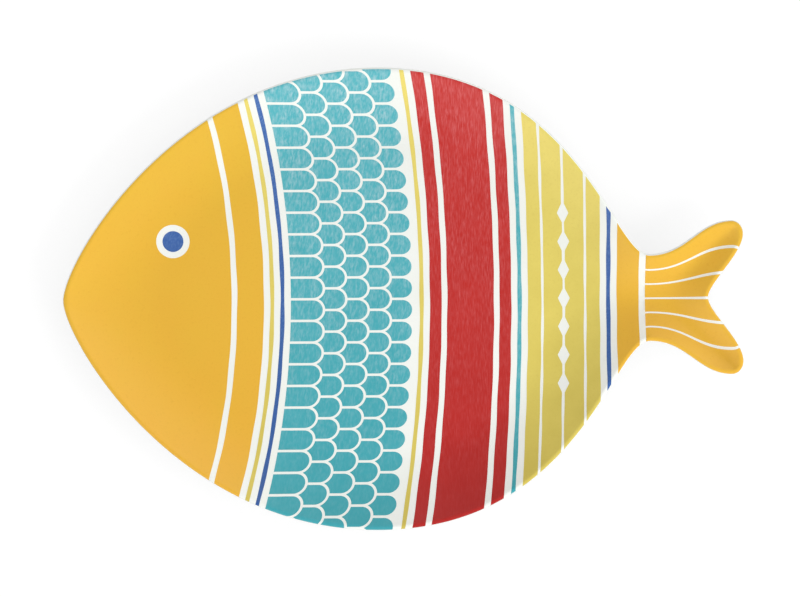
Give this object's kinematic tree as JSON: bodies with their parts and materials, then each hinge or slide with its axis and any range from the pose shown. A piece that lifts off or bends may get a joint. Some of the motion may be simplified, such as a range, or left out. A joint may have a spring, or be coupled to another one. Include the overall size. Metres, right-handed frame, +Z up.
{
  "type": "fish shaped platter",
  "caption": "Flat fish shaped serving platter with a dished well, a rising rim with a flat lip, a forked tail, a foot ring below and a printed face of stripes and scales.",
  "frame": {"origin": "on the table, under the middle of the platter's length and width", "axes": "+X from the nose to the tail, +Y across the fish to the side with the eye, +Z up"},
  "size_m": [0.406, 0.276, 0.0235],
  "materials": {
    "white_melamine": "white melamine, glossy",
    "orange_ink": "orange print under a clear glaze",
    "red_ink": "red print under a clear glaze, mottled",
    "teal_ink": "teal print under a clear glaze, mottled",
    "yellow_ink": "yellow print under a clear glaze",
    "blue_ink": "blue print under a clear glaze, mottled"
  },
  "bodies": {
    "root": {"platter_body": "white_melamine", "head_panel": "orange_ink", "eye_pupil": "blue_ink", "gill_band_panel": "orange_ink", "yellow_collar_stripe": "yellow_ink", "blue_collar_stripe": "blue_ink", "scale_field": "teal_ink", "yellow_middle_stripe": "yellow_ink", "front_red_stripe": "red_ink", "wide_red_stripe": "red_ink", "rear_red_stripe": "red_ink", "teal_stripe": "teal_ink", "front_yellow_stripe": "yellow_ink", "lozenge_band": "yellow_ink", "rear_yellow_stripe": "yellow_ink", "blue_tail_stripe": "blue_ink", "tail_root_panel": "orange_ink", "tail_rays": "orange_ink"}
  },
  "joints": []
}
